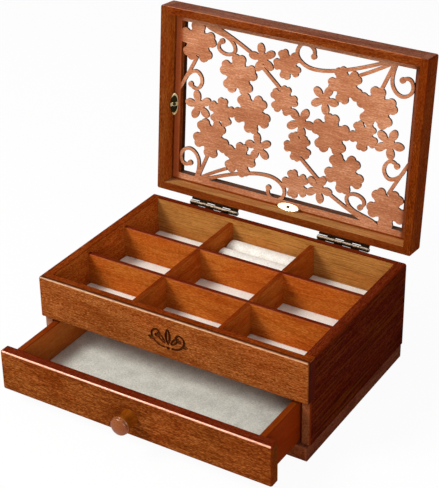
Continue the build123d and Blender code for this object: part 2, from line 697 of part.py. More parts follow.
for side, prefix in ((-1, "left_hinge"), (1, "right_hinge")):
    x = side * HINGE_X
    with BuildPart() as case_leaf:
        block(
            x - HINGE_LENGTH / 2, x + HINGE_LENGTH / 2, rear, case_leaf_face,
            case_leaf_top - LEAF_HEIGHT, case_leaf_top,
        )
        corner_edges = edges().filter_by(Axis.Y).group_by(Axis.Z)[0]
        fillet(corner_edges, 2)
        low = hinge_z - KNUCKLE_RADIUS
        for start, end in knuckle_spans(x, 0):
            block(start, end, rear, hinge_y, low, low + WEB_THICKNESS)
        block(
            x - HINGE_LENGTH / 2, x + HINGE_LENGTH / 2, rear, hinge_y - knuckle_space,
            low, low + WEB_THICKNESS,
        )
        knuckles(x, 0)
        add(bore_blank.part, mode=Mode.SUBTRACT)
        for place in case_screw_places():
            add(leaf_screw.moved(place), mode=Mode.SUBTRACT)
    finish(case_leaf, f"{prefix}_case_leaf")

    with BuildPart(lid_plane) as leaf_plate:
        block(
            x - HINGE_LENGTH / 2, x + HINGE_LENGTH / 2, -LEAF_THICKNESS, 0,
            -LEAF_EDGE - LEAF_HEIGHT, -LEAF_EDGE,
        )
        low = drop - KNUCKLE_RADIUS
        for start, end in knuckle_spans(x, 1):
            block(start, end, -HINGE_BEHIND, -LEAF_THICKNESS / 2, low, low + WEB_THICKNESS)
        block(
            x - HINGE_LENGTH / 2, x + HINGE_LENGTH / 2, knuckle_space - HINGE_BEHIND,
            -LEAF_THICKNESS / 2, low, low + WEB_THICKNESS,
        )
    with BuildPart() as lid_leaf:
        add(leaf_plate.part)
        knuckles(x, 1)
        add(bore_blank.part, mode=Mode.SUBTRACT)
        for place in lid_screw_places():
            add(leaf_screw.moved(lid_plane.location * place), mode=Mode.SUBTRACT)
    finish(lid_leaf, f"{prefix}_lid_leaf")

    with BuildPart() as pin:
        with BuildSketch(pin_plane.offset(x - HINGE_LENGTH / 2)):
            Circle(PIN_RADIUS)
        extrude(amount=HINGE_LENGTH)
        for end, direction in ((-1, -1), (1, 1)):
            head_plane = pin_plane.offset(x + end * HINGE_LENGTH / 2)
            with BuildSketch(head_plane) as head:
                Circle(KNUCKLE_RADIUS - 0.5)
            extrude(head.sketch, amount=direction * 0.7)
    finish(pin, f"{prefix}_pin")

with BuildPart() as hinge_case_screws:
    for place in case_screw_places():
        add(leaf_screw_slotted.moved(place))
finish(hinge_case_screws, "hinge_case_screws")

with BuildPart() as hinge_lid_screws:
    for place in lid_screw_places():
        add(leaf_screw_slotted.moved(lid_plane.location * place))
finish(hinge_lid_screws, "hinge_lid_screws")
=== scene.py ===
import math

import bmesh
import bpy
from mathutils import Matrix, Vector, noise


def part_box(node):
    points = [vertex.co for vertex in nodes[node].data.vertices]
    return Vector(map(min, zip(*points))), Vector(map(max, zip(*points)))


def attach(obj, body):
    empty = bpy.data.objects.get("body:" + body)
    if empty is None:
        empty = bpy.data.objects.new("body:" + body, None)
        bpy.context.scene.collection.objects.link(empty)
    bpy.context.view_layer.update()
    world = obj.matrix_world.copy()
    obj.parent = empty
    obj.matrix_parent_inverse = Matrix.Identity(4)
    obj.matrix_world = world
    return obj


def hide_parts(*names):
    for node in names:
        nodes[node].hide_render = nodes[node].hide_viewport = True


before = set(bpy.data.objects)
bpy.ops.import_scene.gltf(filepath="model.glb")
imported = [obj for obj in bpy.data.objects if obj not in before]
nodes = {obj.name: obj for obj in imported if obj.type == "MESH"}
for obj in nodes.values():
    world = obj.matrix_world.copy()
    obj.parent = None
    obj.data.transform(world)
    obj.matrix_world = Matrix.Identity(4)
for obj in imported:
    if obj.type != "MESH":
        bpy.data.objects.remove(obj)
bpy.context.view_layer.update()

MM = 0.001
LID_TILT = math.radians(5.3)


def linear(colour):
    """An sRGB hex colour as linear red, green, blue and alpha."""
    parts = [int(colour[i:i + 2], 16) / 255 for i in (1, 3, 5)]
    return [c / 12.92 if c <= 0.04045 else ((c + 0.055) / 1.055) ** 2.4 for c in parts] + [1]


def node(tree, kind, sockets=None, **settings):
    """Add a node. Settings are its properties. Sockets are its inputs by name or number, each
    with a value or with an output to link from."""
    made = tree.nodes.new(kind)
    for name, value in settings.items():
        setattr(made, name, value)
    for socket, value in (sockets or {}).items():
        if isinstance(value, bpy.types.NodeSocket):
            tree.links.new(value, made.inputs[socket])
        else:
            made.inputs[socket].default_value = value
    return made


def new_material(name):
    """An empty node material with its tree and a shader linked to the output."""
    material = bpy.data.materials.new(name)
    material.use_nodes = True
    tree = material.node_tree
    tree.nodes.clear()
    shader = node(tree, "ShaderNodeBsdfPrincipled")
    node(tree, "ShaderNodeOutputMaterial", {"Surface": shader.outputs[0]})
    return material, tree, shader


def set_ramp(ramp, places, colours):
    """Give a colour ramp its stops: their places and their hex colours."""
    elements = ramp.color_ramp.elements
    while len(elements) < len(places):
        elements.new(0.5)
    for element, place, colour in zip(elements, places, colours):
        element.position = place
        element.color = linear(colour)


# Which way a board's grain runs: a turn that brings the grain onto X.
GRAIN_X = (0, 0, 0)
GRAIN_Y = (0, 0, math.radians(-90))
GRAIN_LID_ACROSS = (LID_TILT, 0, 0)
GRAIN_LID_UP = (LID_TILT, math.radians(90), 0)
# Where a wood's dark, middle and light colour stand on its scale of tones.
TONE_PLACES = (0.15, 0.5, 0.85)


def grain_noise(tree, board, mark_mm, detail, roughness=0.5, distortion=0.0):
    """Noise drawn out along the grain, with marks of about this length and width."""
    length_mm, width_mm = mark_mm
    placed = node(
        tree, "ShaderNodeMapping",
        {"Vector": board, "Scale": (1000 / length_mm, 1000 / width_mm, 1000 / width_mm)},
    )
    marks = node(
        tree, "ShaderNodeTexNoise",
        {"Vector": placed.outputs[0], "Scale": 1, "Detail": detail, "Roughness": roughness,
         "Distortion": distortion},
    )
    return marks.outputs["Fac"]


# Marks in the stained wood, as length and width in mm. Fibres and pores are really 0.1 to 0.3 mm
# wide; they are drawn 0.6 to 0.7 mm wide to show.
FIBRE_MM, SPECK_MM, PORE_MM = (14, 0.7), (2.6, 0.6), (5, 0.7)
CLOUD_MM, WARM_PATCH_MM = (55, 20), (60, 24)
# How much of the scale of tones fibres, specks and clouds take up.
FIBRE_DEPTH, SPECK_DEPTH, CLOUD_DEPTH = 0.22, 0.36, 0.1
# A mark is at its darkest or lightest beyond these two values of its noise.
NOISE_LOW, NOISE_HIGH = 0.36, 0.64
# From which value of their noise pores, streaks and warm patches set in, and where they are full.
PORE_FROM, PORE_FULL = 0.55, 0.7
STREAK_FROM, STREAK_FULL = 0.5, 0.66
WARM_FROM, WARM_FULL = 0.45, 0.6
# The level of a growth ring at which it leaves the tone as it is.
RING_LEVEL = 0.55
WOOD_ROUGHNESS = 0.42
# Which way the edge between a board's top and front looks.
CREST = (0, -0.72, 0.69)
# How squarely a surface looks one way, as a cosine, where a change sets in and where it is full:
# a side's own stain, the dark of a rounded edge, and the painted highlight and the gloss of the
# crest.
SIDE_FROM, SIDE_FULL = 0.7, 0.9
ROUND_FROM, ROUND_FULL = 0.98, 0.85
HIGHLIGHT_FROM, HIGHLIGHT_FULL = 0.9, 0.97
GLOSS_FROM, GLOSS_FULL = 0.8, 0.95
# The stain is redder in warm patches and darker in pores.
WARM_TINT, PORE_TINT = "#ffd0b4", "#8c6048"
# A cut is coloured fully dark from one depth on, and the dark ends at the other.
DARK_CUT_TONE = "#34190c"
DARK_CUT_FULL, DARK_CUT_END = 0.8 * MM, 3 * MM


def stained_wood(
    name, grain, tones, edge_tone, faces=(), lean=0.0, seed=0.0, figure_mm=(190, 24), rings=6.0,
    ring_depth=0.22, fibre_depth=1.0, pore_depth=0.6, edge_strength=0.8, lacquer=0.01,
    edge_lacquer=1.0, painted_highlight_tone=None, painted_shade_wall=None, streak_tone=None, streak_mm=(85, 2.6),
    dark_cut_behind=None,
):
    """Open-pored hardwood, wiped with dark stain and sprayed with satin lacquer: growth rings and
    fine fibres, pores left as short dark dashes, darker stain on rounded edges, a soft gloss.

    tones are its dark, middle and light colour. faces are (direction, tones) of sides that took
    the stain otherwise. lean is the turn that stands a rail of the open lid upright. streak_tone
    is the colour of long streaks, streak_mm their length and width. painted_highlight_tone is the
    colour of a highlight painted on the edge between top and front. painted_shade_wall is
    (direction, depth, tone) of walls behind the fretwork that are painted dark as shade.
    dark_cut_behind is the Y from which a cut is coloured dark."""
    material, tree, shader = new_material(name)
    place = node(tree, "ShaderNodeTexCoord")
    # Each board is cut from another part of the pattern.
    cut_from = (seed, 0.7 * seed, 1.3 * seed)
    mapped = node(
        tree, "ShaderNodeMapping",
        {"Vector": place.outputs["Object"], "Rotation": grain, "Location": cut_from},
    )
    board = mapped.outputs[0]
    # Growth rings are level lines of a slow noise. Each darkens slowly and turns pale at once.
    figure = grain_noise(tree, board, figure_mm, 2, roughness=0.45, distortion=0.2)
    counted = node(tree, "ShaderNodeMath", {0: figure, 1: rings}, operation="MULTIPLY")
    phase = node(tree, "ShaderNodeMath", {0: counted.outputs[0]}, operation="FRACT")
    ring = node(tree, "ShaderNodeFloatCurve", {"Value": phase.outputs[0]})
    curve = ring.mapping.curves[0]
    curve.points[0].location = (0, 0.75)
    curve.points[1].location = (1, 0.75)
    curve.points.new(0.55, 0.55)
    curve.points.new(0.88, 0.0)
    ring.mapping.update()
    fibre = grain_noise(tree, board, FIBRE_MM, 1)
    speck = grain_noise(tree, board, SPECK_MM, 1)
    pore = grain_noise(tree, board, PORE_MM, 1)
    cloud = grain_noise(tree, board, CLOUD_MM, 2)
    pores = node(
        tree, "ShaderNodeMapRange",
        {"Value": pore, "From Min": PORE_FROM, "From Max": PORE_FULL, "To Max": pore_depth},
    )
    tone = node(
        tree, "ShaderNodeMath",
        {0: ring.outputs[0], 1: ring_depth, 2: 0.5 - RING_LEVEL * ring_depth},
        operation="MULTIPLY_ADD",
    )
    for marks, depth in (
        (fibre, FIBRE_DEPTH * fibre_depth), (speck, SPECK_DEPTH * fibre_depth),
        (cloud, CLOUD_DEPTH),
    ):
        level = node(
            tree, "ShaderNodeMapRange",
            {"Value": marks, "From Min": NOISE_LOW, "From Max": NOISE_HIGH,
             "To Min": -0.5 * depth, "To Max": 0.5 * depth},
        )
        tone = node(
            tree, "ShaderNodeMath", {0: tone.outputs[0], 1: level.outputs[0]}, operation="ADD",
        )
    ramp = node(tree, "ShaderNodeValToRGB", {"Fac": tone.outputs[0]})
    set_ramp(ramp, TONE_PLACES, tones)
    colour = ramp.outputs["Color"]
    if streak_tone is not None:
        streak = grain_noise(tree, board, streak_mm, 2)
        streaks = node(
            tree, "ShaderNodeMapRange",
            {"Value": streak, "From Min": STREAK_FROM, "From Max": STREAK_FULL, "To Max": 0.6},
        )
        mixed = node(
            tree, "ShaderNodeMix", {0: streaks.outputs[0], 6: colour, 7: linear(streak_tone)},
            data_type="RGBA",
        )
        colour = mixed.outputs[2]
    turned = node(
        tree, "ShaderNodeMapping", {"Vector": place.outputs["Normal"], "Rotation": (lean, 0, 0)},
        vector_type="VECTOR",
    )
    for direction, face_tones in faces:
        facing = node(
            tree, "ShaderNodeVectorMath", {0: turned.outputs[0], 1: direction},
            operation="DOT_PRODUCT",
        )
        mask = node(
            tree, "ShaderNodeMapRange",
            {"Value": facing.outputs["Value"], "From Min": SIDE_FROM, "From Max": SIDE_FULL},
        )
        ramp = node(tree, "ShaderNodeValToRGB", {"Fac": tone.outputs[0]})
        set_ramp(ramp, TONE_PLACES, face_tones)
        mixed = node(
            tree, "ShaderNodeMix", {0: mask.outputs[0], 6: colour, 7: ramp.outputs["Color"]},
            data_type="RGBA",
        )
        colour = mixed.outputs[2]
    # A rounded edge is where the surface faces none of the board's three directions.
    bare = node(tree, "ShaderNodeVectorMath", {0: turned.outputs[0]}, operation="ABSOLUTE")
    parts = node(tree, "ShaderNodeSeparateXYZ", {0: bare.outputs[0]})
    flat = node(
        tree, "ShaderNodeMath", {0: parts.outputs[0], 1: parts.outputs[1]}, operation="MAXIMUM",
    )
    flat = node(
        tree, "ShaderNodeMath", {0: flat.outputs[0], 1: parts.outputs[2]}, operation="MAXIMUM",
    )
    rounded = node(
        tree, "ShaderNodeMapRange",
        {"Value": flat.outputs[0], "From Min": ROUND_FROM, "From Max": ROUND_FULL,
         "To Max": edge_strength},
    )
    mixed = node(
        tree, "ShaderNodeMix", {0: rounded.outputs[0], 6: colour, 7: linear(edge_tone)},
        data_type="RGBA",
    )
    crest = node(
        tree, "ShaderNodeVectorMath", {0: turned.outputs[0], 1: CREST}, operation="DOT_PRODUCT",
    )
    # The edge between top and front is painted with a pale highlight.
    if painted_highlight_tone is not None:
        highlight = node(
            tree, "ShaderNodeMapRange",
            {"Value": crest.outputs["Value"], "From Min": HIGHLIGHT_FROM, "From Max": HIGHLIGHT_FULL},
        )
        mixed = node(
            tree, "ShaderNodeMix",
            {0: highlight.outputs[0], 6: mixed.outputs[2], 7: linear(painted_highlight_tone)}, data_type="RGBA",
        )
    # Walls behind the fretwork are painted dark as shade.
    if painted_shade_wall is not None:
        inward, depth, dark_tone = painted_shade_wall
        facing = node(
            tree, "ShaderNodeVectorMath", {0: turned.outputs[0], 1: inward},
            operation="DOT_PRODUCT",
        )
        facing = node(
            tree, "ShaderNodeMath", {0: facing.outputs["Value"], 1: SIDE_FROM},
            operation="GREATER_THAN",
        )
        upright = node(
            tree, "ShaderNodeMapping",
            {"Vector": place.outputs["Object"], "Rotation": (lean, 0, 0)},
        )
        upright = node(tree, "ShaderNodeSeparateXYZ", {0: upright.outputs[0]})
        behind = node(
            tree, "ShaderNodeMath", {0: upright.outputs[1], 1: depth}, operation="GREATER_THAN",
        )
        behind = node(
            tree, "ShaderNodeMath", {0: behind.outputs[0], 1: facing.outputs[0]},
            operation="MULTIPLY",
        )
        mixed = node(
            tree, "ShaderNodeMix",
            {0: behind.outputs[0], 6: mixed.outputs[2], 7: linear(dark_tone)}, data_type="RGBA",
        )
    warm = grain_noise(tree, board, WARM_PATCH_MM, 1)
    warmth = node(
        tree, "ShaderNodeMapRange",
        {"Value": warm, "From Min": WARM_FROM, "From Max": WARM_FULL, "To Max": 0.3},
    )
    for amount, tint in ((warmth.outputs[0], WARM_TINT), (pores.outputs[0], PORE_TINT)):
        mixed = node(
            tree, "ShaderNodeMix", {0: amount, 6: mixed.outputs[2], 7: linear(tint)},
            data_type="RGBA", blend_type="MULTIPLY",
        )
    if dark_cut_behind is not None:
        spot = node(tree, "ShaderNodeSeparateXYZ", {0: place.outputs["Object"]})
        cut = node(
            tree, "ShaderNodeMapRange",
            {"Value": spot.outputs[1], "From Min": dark_cut_behind,
             "From Max": dark_cut_behind + DARK_CUT_FULL, "To Max": 0.75},
        )
        front_side = node(
            tree, "ShaderNodeMath", {0: spot.outputs[1], 1: dark_cut_behind + DARK_CUT_END},
            operation="LESS_THAN",
        )
        cut = node(
            tree, "ShaderNodeMath", {0: cut.outputs[0], 1: front_side.outputs[0]},
            operation="MULTIPLY",
        )
        mixed = node(
            tree, "ShaderNodeMix",
            {0: cut.outputs[0], 6: mixed.outputs[2], 7: linear(DARK_CUT_TONE)}, data_type="RGBA",
        )
    tree.links.new(mixed.outputs[2], shader.inputs["Base Color"])
    # The lacquer is rubbed thin on the faces and stands glossier on the edges between top and
    # front, unless it is even all over.
    if lacquer == edge_lacquer:
        shader.inputs["Coat Weight"].default_value = lacquer
    else:
        film = node(
            tree, "ShaderNodeMapRange",
            {"Value": crest.outputs["Value"], "From Min": GLOSS_FROM, "From Max": GLOSS_FULL,
             "To Min": lacquer, "To Max": edge_lacquer},
        )
        tree.links.new(film.outputs[0], shader.inputs["Coat Weight"])
    shader.inputs["Coat Roughness"].default_value = 0.2
    shader.inputs["Coat IOR"].default_value = 1.5
    dull = node(
        tree, "ShaderNodeMath", {0: pores.outputs[0], 1: 0.25, 2: WOOD_ROUGHNESS},
        operation="MULTIPLY_ADD",
    )
    tree.links.new(dull.outputs[0], shader.inputs["Roughness"])
    relief = node(
        tree, "ShaderNodeMath", {0: pores.outputs[0], 1: -1.5, 2: fibre},
        operation="MULTIPLY_ADD",
    )
    bump = node(
        tree, "ShaderNodeBump",
        {"Strength": 0.35, "Distance": 0.2 * MM, "Height": relief.outputs[0]},
    )
    tree.links.new(bump.outputs[0], shader.inputs["Normal"])
    shader.inputs["Specular IOR Level"].default_value = 0.0
    return material


def sawn_fretwork(name):
    """Thin unlacquered board cut by laser: a pinkish, matt, open-grained face and burnt edges."""
    material, tree, shader = new_material(name)
    place = node(tree, "ShaderNodeTexCoord")
    board = node(
        tree, "ShaderNodeMapping",
        {"Vector": place.outputs["Object"], "Rotation": GRAIN_LID_ACROSS},
    )
    # Its fibres too are drawn wider than real, 0.8 mm, to show.
    fibre = grain_noise(tree, board.outputs[0], (12, 0.8), 1)
    speck = grain_noise(tree, board.outputs[0], (2.5, 0.8), 1)
    cloud = grain_noise(tree, board.outputs[0], (60, 22), 2)
    tone = node(tree, "ShaderNodeMath", {0: fibre, 1: speck}, operation="ADD")
    tone = node(tree, "ShaderNodeMath", {0: tone.outputs[0], 1: cloud}, operation="ADD")
    tone = node(tree, "ShaderNodeMath", {0: tone.outputs[0], 1: 1 / 3}, operation="MULTIPLY")
    face = node(tree, "ShaderNodeValToRGB", {"Fac": tone.outputs[0]})
    set_ramp(face, (NOISE_LOW, 0.5, NOISE_HIGH), ("#945434", "#b4724c", "#d49a76"))
    turned = node(
        tree, "ShaderNodeMapping",
        {"Vector": place.outputs["Normal"], "Rotation": (LID_TILT, 0, 0)}, vector_type="VECTOR",
    )
    parts = node(tree, "ShaderNodeSeparateXYZ", {0: turned.outputs[0]})
    flat = node(tree, "ShaderNodeMath", {0: parts.outputs[1]}, operation="ABSOLUTE")
    wall = node(
        tree, "ShaderNodeMapRange", {"Value": flat.outputs[0], "From Min": 0.9, "From Max": 0.5},
    )
    mixed = node(
        tree, "ShaderNodeMix",
        {0: wall.outputs[0], 6: face.outputs["Color"], 7: linear("#30180c")}, data_type="RGBA",
    )
    # The board's two ends are painted dark as shade from the rails beside them, from 121 mm off
    # the middle on.
    spot = node(tree, "ShaderNodeSeparateXYZ", {0: place.outputs["Object"]})
    for start, stop, stain in ((-121, -124, "#a84c1c"), (121, 124, "#6a2c04")):
        end = node(
            tree, "ShaderNodeMapRange",
            {"Value": spot.outputs[0], "From Min": start * MM, "From Max": stop * MM,
             "To Max": 0.85},
        )
        mixed = node(
            tree, "ShaderNodeMix", {0: end.outputs[0], 6: mixed.outputs[2], 7: linear(stain)},
            data_type="RGBA",
        )
    tree.links.new(mixed.outputs[2], shader.inputs["Base Color"])
    bump = node(
        tree, "ShaderNodeBump", {"Strength": 0.3, "Distance": 0.2 * MM, "Height": fibre},
    )
    tree.links.new(bump.outputs[0], shader.inputs["Normal"])
    shader.inputs["Roughness"].default_value = 0.6
    shader.inputs["Specular IOR Level"].default_value = 0.15
    return material


# The nap's tufts are about 0.3 mm; they are drawn 1.3 mm across to show.
NAP_MM = 1.3
BRUSHED_PATCH_MM = 14


def flocked_cloth(name, tones):
    """Flocking on thin backing cloth: a dull, even, short nap that is brushed this way and that,
    with a pale rim of sheen where it is seen from the side."""
    material, tree, shader = new_material(name)
    place = node(tree, "ShaderNodeTexCoord")
    nap = node(
        tree, "ShaderNodeTexNoise",
        {"Vector": place.outputs["Object"], "Scale": 1000 / NAP_MM, "Detail": 2,
         "Roughness": 0.7},
    )
    brushed = node(
        tree, "ShaderNodeTexNoise",
        {"Vector": place.outputs["Object"], "Scale": 1000 / BRUSHED_PATCH_MM, "Detail": 2,
         "Roughness": 0.5},
    )
    level = node(
        tree, "ShaderNodeMath", {0: brushed.outputs["Fac"], 1: 0.5, 2: -0.25},
        operation="MULTIPLY_ADD",
    )
    level = node(
        tree, "ShaderNodeMath", {0: level.outputs[0], 1: nap.outputs["Fac"]}, operation="ADD",
    )
    colours = node(tree, "ShaderNodeValToRGB", {"Fac": level.outputs[0]})
    set_ramp(colours, (0.3, 0.7), tones)
    tree.links.new(colours.outputs["Color"], shader.inputs["Base Color"])
    bump = node(
        tree, "ShaderNodeBump",
        {"Strength": 0.45, "Distance": 0.3 * MM, "Height": nap.outputs["Fac"]},
    )
    tree.links.new(bump.outputs[0], shader.inputs["Normal"])
    shader.inputs["Roughness"].default_value = 0.95
    shader.inputs["Specular IOR Level"].default_value = 0.1
    shader.inputs["Sheen Weight"].default_value = 0.15
    shader.inputs["Sheen Roughness"].default_value = 0.5
    return material


TARNISH_SPOT_MM = 3
# How far a plate's boss and its sunk field reach from its middle, as shares of half the plate.
BOSS_REACH, FIELD_REACH = 0.16, 0.78


def aged_brass(name, bright, tarnish, roughness, painted_glint=None, sunk=None):
    """Stamped sheet brass, mottled by tarnish that is duller than the bright metal.

    painted_glint is (direction, tone) of the crests that are painted bright as highlights. sunk is
    (box, tone) of a plate whose sunk field is coloured darker."""
    material, tree, shader = new_material(name)
    place = node(tree, "ShaderNodeTexCoord")
    spots = node(
        tree, "ShaderNodeTexNoise",
        {"Vector": place.outputs["Object"], "Scale": 1000 / TARNISH_SPOT_MM, "Detail": 3,
         "Roughness": 0.6},
    )
    colours = node(tree, "ShaderNodeValToRGB", {"Fac": spots.outputs["Fac"]})
    set_ramp(colours, (0.35, 0.6), (tarnish, bright))
    colour = colours.outputs["Color"]
    # Crests that face up and forward are painted bright, as highlights.
    if painted_glint is not None:
        direction, glint_tone = painted_glint
        facing = node(
            tree, "ShaderNodeVectorMath", {0: place.outputs["Normal"], 1: direction},
            operation="DOT_PRODUCT",
        )
        crest = node(
            tree, "ShaderNodeMapRange",
            {"Value": facing.outputs["Value"], "From Min": 0.95, "From Max": 0.98},
        )
        mixed = node(
            tree, "ShaderNodeMix", {0: crest.outputs[0], 6: colour, 7: linear(glint_tone)},
            data_type="RGBA",
        )
        colour = mixed.outputs[2]
    # The sunk field of the plate, between its boss and its rim, is coloured darker.
    if sunk is not None:
        (low, high), dark_tone = sunk
        centre = (low + high) / 2
        half = (high - low) / 2
        off = node(
            tree, "ShaderNodeVectorMath", {0: place.outputs["Object"], 1: centre},
            operation="SUBTRACT",
        )
        off = node(
            tree, "ShaderNodeVectorMath", {0: off.outputs[0], 1: (1 / half.x, 0, 1 / half.z)},
            operation="MULTIPLY",
        )
        parts = node(tree, "ShaderNodeSeparateXYZ", {0: off.outputs[0]})
        along = node(tree, "ShaderNodeMath", {0: parts.outputs[2]}, operation="ABSOLUTE")
        beyond_boss = node(
            tree, "ShaderNodeMath", {0: along.outputs[0], 1: BOSS_REACH},
            operation="GREATER_THAN",
        )
        reach = node(tree, "ShaderNodeVectorMath", {0: off.outputs[0]}, operation="LENGTH")
        field = node(
            tree, "ShaderNodeMath", {0: reach.outputs["Value"], 1: FIELD_REACH},
            operation="LESS_THAN",
        )
        field = node(
            tree, "ShaderNodeMath", {0: field.outputs[0], 1: beyond_boss.outputs[0]},
            operation="MULTIPLY",
        )
        mixed = node(
            tree, "ShaderNodeMix", {0: field.outputs[0], 6: colour, 7: linear(dark_tone)},
            data_type="RGBA",
        )
        colour = mixed.outputs[2]
    tree.links.new(colour, shader.inputs["Base Color"])
    dull = node(
        tree, "ShaderNodeMapRange",
        {"Value": spots.outputs["Fac"], "From Min": 0.3, "From Max": 0.7,
         "To Min": roughness + 0.12, "To Max": roughness},
    )
    tree.links.new(dull.outputs[0], shader.inputs["Roughness"])
    shader.inputs["Metallic"].default_value = 1.0
    return material


def screw_steel(name, colour, roughness):
    """A small turned steel screw with an even coating: plain metal, a little dull."""
    material, _, shader = new_material(name)
    shader.inputs["Metallic"].default_value = 1.0
    shader.inputs["Roughness"].default_value = roughness
    shader.inputs["Base Color"].default_value = linear(colour)
    return material


# Stains, each as its dark, middle and light colour. Some also carry painted light and sheen, as
# said at each.
FRONT_TONES = ("#6a2a0a", "#8e481a", "#c67e42")
DRAWER_TONES = ("#562206", "#763810", "#a8642e")
DRAWER_END_TONES = ("#4c1c06", "#682e08", "#884c1c")
SIDE_TONES = ("#340a04", "#4c140a", "#6a2a16")
RIM_TONES = ("#5c1c06", "#7a3008", "#984c1c")
DARK_RIM_TONES = ("#4a1406", "#64200a", "#80381a")
INNER_TONES = ("#86380e", "#b45c1c", "#d4843c")
TAN_TONES = ("#8e5826", "#b67a3a", "#d09654")
LID_TONES = ("#5a2006", "#7a360e", "#9a5424")
LID_LEFT_TONES = ("#542006", "#743610", "#905022")
LID_RIGHT_TONES = ("#521a04", "#702c06", "#8e4816")
# The lid rails' top faces: their stain with a painted sheen, paler and greyer.
LID_TOP_SHEEN_TONES = ("#6a3a28", "#8c5844", "#ae7c64")
SIDE_EDGE_TONES = ("#623012", "#844828", "#9c6440")
# The left side's front edge is painted lighter and paler than the right side's, as light and sheen
# on it.
LEFT_EDGE_LIT_TONES = ("#86503a", "#aa7254", "#c48e70")
BASE_TONES = ("#542618", "#703a26", "#885239")
BASE_FRONT_TONES = ("#5c2814", "#7e3e20", "#985636")
EDGE_STAIN, DIVIDER_EDGE_STAIN = "#6a2408", "#8c3c14"
STREAK_TONE = "#6a340c"
FINE_STREAK_MM = (42, 0.9)

UP, DOWN, FRONT, BACK = (0, 0, 1), (0, 0, -1), (0, -1, 0), (0, 1, 0)
LEFT, RIGHT = (-1, 0, 0), (1, 0, 0)
# How deep the fretwork lies, measured square to the open lid. The rails' inner walls are painted
# dark as shade from 1 mm behind its front.
lid_upright = Matrix.Rotation(LID_TILT, 3, "X")
fretwork_front = min(
    (lid_upright @ vertex.co).y for vertex in nodes["fretwork_panel"].data.vertices
)
behind_fretwork = fretwork_front + 1 * MM

front_wood = stained_wood(
    "satin_lacquered_walnut_upper_front", GRAIN_X, FRONT_TONES, EDGE_STAIN,
    [(UP, RIM_TONES), (RIGHT, SIDE_TONES), (LEFT, SIDE_TONES)],
    seed=0.11, ring_depth=0.06, edge_strength=0.3, edge_lacquer=0.2, painted_highlight_tone="#d8a478",
    dark_cut_behind=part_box("upper_front")[0].y + 0.3 * MM,
)
drawer_front_wood = stained_wood(
    "satin_lacquered_walnut_drawer_front", GRAIN_X, DRAWER_TONES, EDGE_STAIN,
    [(UP, DARK_RIM_TONES), (RIGHT, DRAWER_END_TONES)],
    seed=0.37, figure_mm=(150, 26), rings=8, ring_depth=0.16, edge_lacquer=0.5,
    painted_highlight_tone="#f0b090",
)
left_side_wood = stained_wood(
    "satin_lacquered_walnut_left_side", GRAIN_Y, SIDE_TONES, EDGE_STAIN,
    [(UP, RIM_TONES), (RIGHT, INNER_TONES), (FRONT, LEFT_EDGE_LIT_TONES)],
    seed=0.71, ring_depth=0.15, lacquer=0.0, edge_lacquer=0.0, streak_tone=STREAK_TONE,
)
right_side_wood = stained_wood(
    "satin_lacquered_walnut_right_side", GRAIN_Y, SIDE_TONES, EDGE_STAIN,
    [(UP, DARK_RIM_TONES), (LEFT, INNER_TONES), (FRONT, SIDE_EDGE_TONES)],
    seed=0.91, ring_depth=0.15, lacquer=0.0, edge_lacquer=0.0, streak_tone=STREAK_TONE,
)
# The base's rounded edges are painted lighter, as a highlight on its lip.
base_wood = stained_wood(
    "satin_lacquered_walnut_base", GRAIN_Y, BASE_TONES, "#8a4c32", [(FRONT, BASE_FRONT_TONES)],
    seed=0.83, lacquer=0.0, edge_lacquer=0.0,
)
back_wood = stained_wood(
    "satin_lacquered_walnut_back", GRAIN_X, TAN_TONES, EDGE_STAIN,
    [(BACK, SIDE_TONES), (UP, DARK_RIM_TONES)],
    seed=0.53, ring_depth=0.1, edge_lacquer=0.1, fibre_depth=0.45, pore_depth=0.3,
    streak_tone="#6e3c14", streak_mm=FINE_STREAK_MM,
)
cross_wood = stained_wood(
    "satin_walnut_cross_dividers", GRAIN_X, INNER_TONES, DIVIDER_EDGE_STAIN,
    [(UP, DARK_RIM_TONES)],
    seed=1.31, ring_depth=0.15, pore_depth=0.3, fibre_depth=0.7, edge_lacquer=0.1,
)
divider_wood = stained_wood(
    "satin_walnut_long_dividers", GRAIN_Y, INNER_TONES, DIVIDER_EDGE_STAIN, [(UP, RIM_TONES)],
    seed=1.71, ring_depth=0.15, pore_depth=0.3, fibre_depth=0.5, edge_lacquer=0.1,
)
drawer_left_wood = stained_wood(
    "satin_walnut_drawer_left_side", GRAIN_Y, RIM_TONES, EDGE_STAIN,
    [(RIGHT, ("#964818", "#b46024", "#cc8048"))],
    seed=2.1, ring_depth=0.1, fibre_depth=0.4, pore_depth=0.2,
)
drawer_right_wood = stained_wood(
    "satin_walnut_drawer_right_side", GRAIN_Y, RIM_TONES, EDGE_STAIN,
    [(RIGHT, ("#621c04", "#802c08", "#984214"))],
    seed=2.3, ring_depth=0.1, fibre_depth=0.4, pore_depth=0.2,
)
drawer_inner_wood = stained_wood(
    "satin_walnut_drawer_back", GRAIN_X, INNER_TONES, EDGE_STAIN, seed=2.6, ring_depth=0.1,
)
lid_front_wood = stained_wood(
    "satin_lacquered_walnut_lid_front_rail", GRAIN_LID_ACROSS, LID_TONES, EDGE_STAIN,
    [(UP, LID_TOP_SHEEN_TONES)],
    lean=LID_TILT, seed=3.1, edge_lacquer=0.2, painted_highlight_tone="#a86030",
    painted_shade_wall=(DOWN, behind_fretwork, "#2c160c"),
)
lid_hinge_wood = stained_wood(
    "satin_lacquered_walnut_lid_hinge_rail", GRAIN_LID_ACROSS, ("#8e5c32", "#b68048", "#d09a64"),
    EDGE_STAIN, [(side, LID_TONES) for side in (FRONT, BACK, DOWN, LEFT, RIGHT)],
    lean=LID_TILT, seed=3.3, ring_depth=0.1, edge_lacquer=0.1, fibre_depth=0.6, pore_depth=0.3,
    streak_tone="#6e3410", streak_mm=FINE_STREAK_MM, painted_shade_wall=(UP, behind_fretwork, "#664434"),
)
